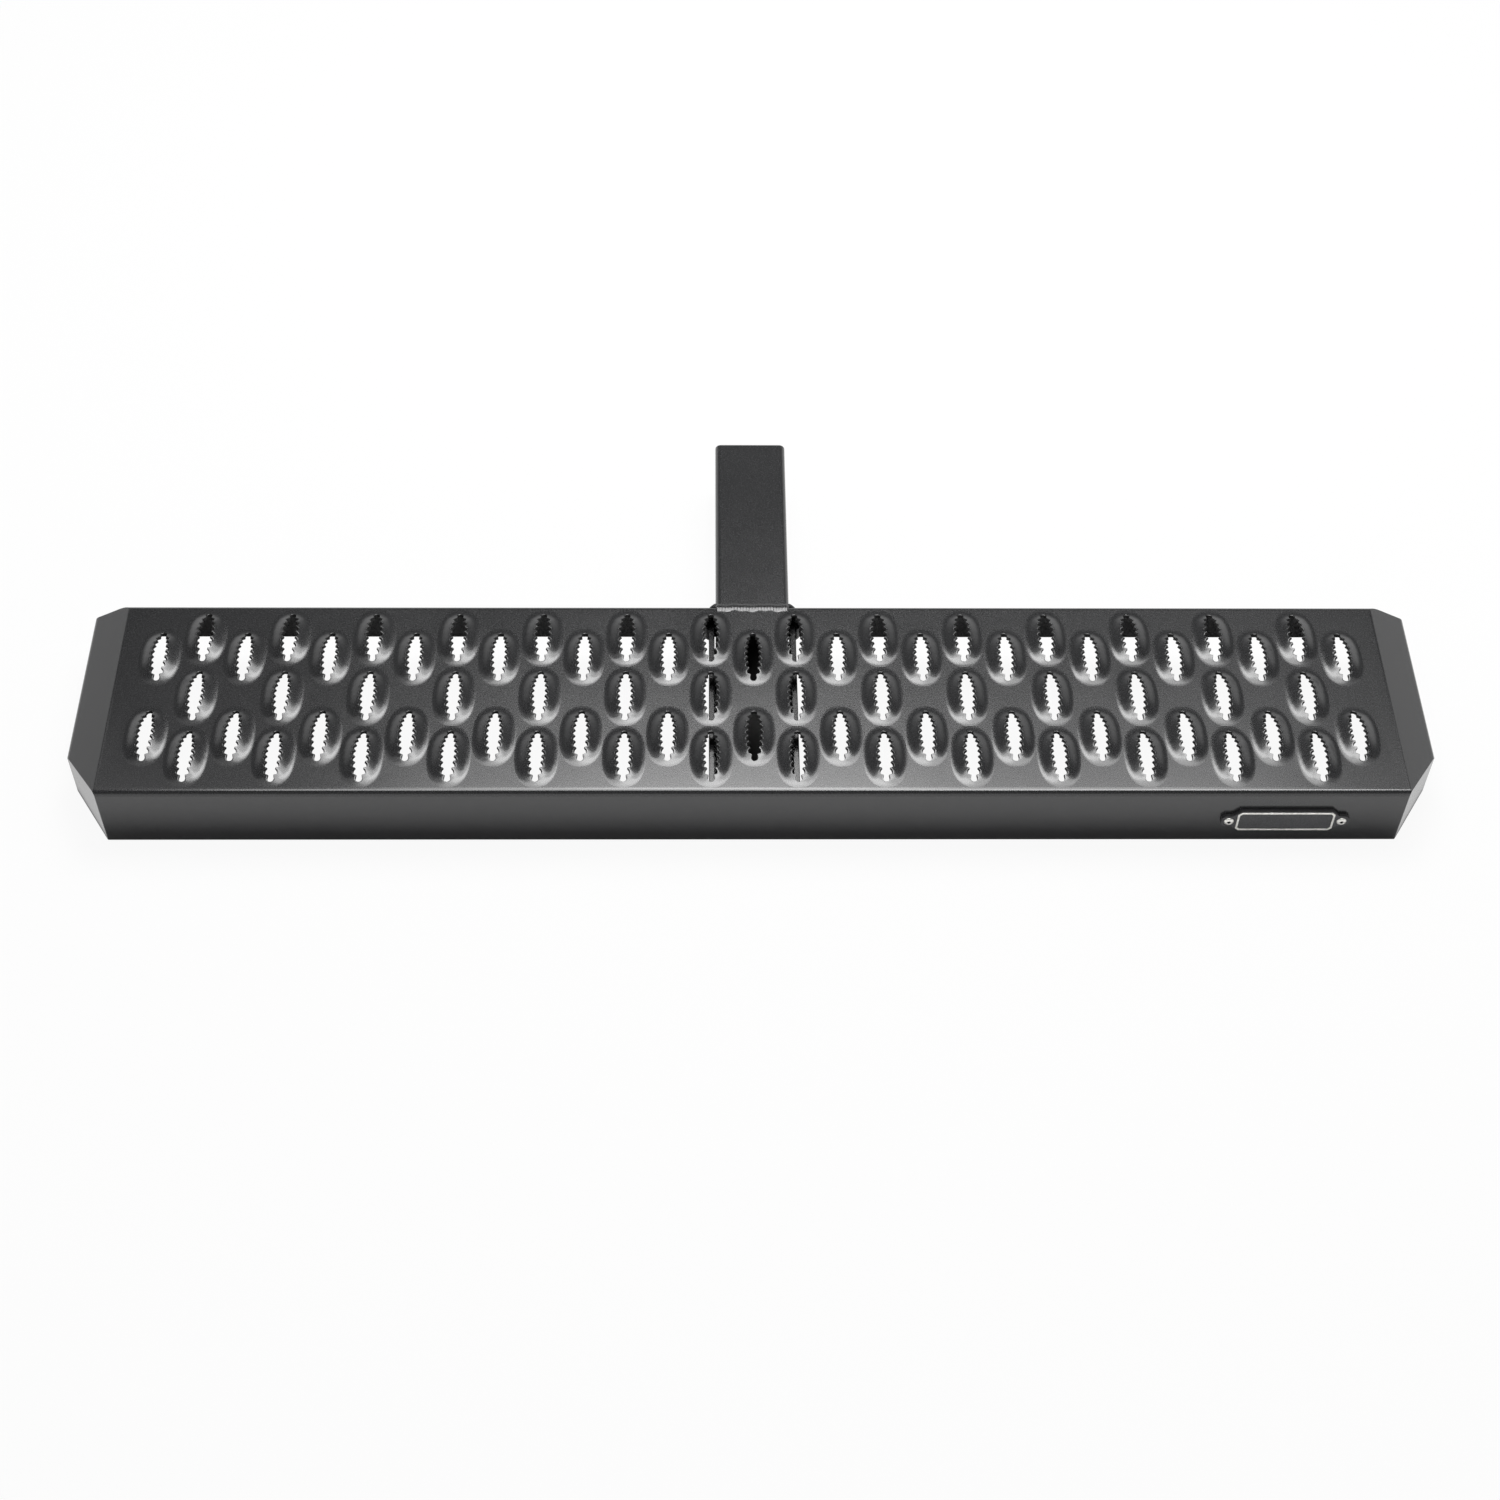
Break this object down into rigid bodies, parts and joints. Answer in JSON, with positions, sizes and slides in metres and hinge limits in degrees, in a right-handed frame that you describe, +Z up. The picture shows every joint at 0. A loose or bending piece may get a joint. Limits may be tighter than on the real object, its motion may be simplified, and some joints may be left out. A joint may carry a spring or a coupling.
{
  "type": "hitch receiver step",
  "caption": "Folded sheet-metal step tread with raised serrated grip domes, welded across a square tube that pins into a vehicle's hitch receiver.",
  "frame": {"origin": "centre of the hitch pin hole, on the receiver tube's axis", "axes": "+X along the tread, +Y along the tube towards its open end (into the vehicle's receiver), +Z up"},
  "size_m": [0.9144, 0.3278, 0.0556],
  "materials": {
    "powder_coat": "satin, finely textured black powder coat on steel",
    "weld_bead": "rippled weld under satin black powder coat",
    "badge": "dark grey plate with a bright edge",
    "rivet": "bare, lightly dulled"
  },
  "bodies": {
    "root": {"tread": "powder_coat", "hitch_tube": "powder_coat", "gusset_left": "powder_coat", "gusset_right": "powder_coat", "weld_top": "weld_bead", "weld_left": "weld_bead", "weld_right": "weld_bead", "weld_lap_left": "weld_bead", "weld_lap_right": "weld_bead", "weld_front_left": "weld_bead", "weld_front_right": "weld_bead", "weld_back_left": "weld_bead", "weld_back_right": "weld_bead", "badge_plate": "badge", "badge_rivets": "rivet"}
  },
  "joints": []
}
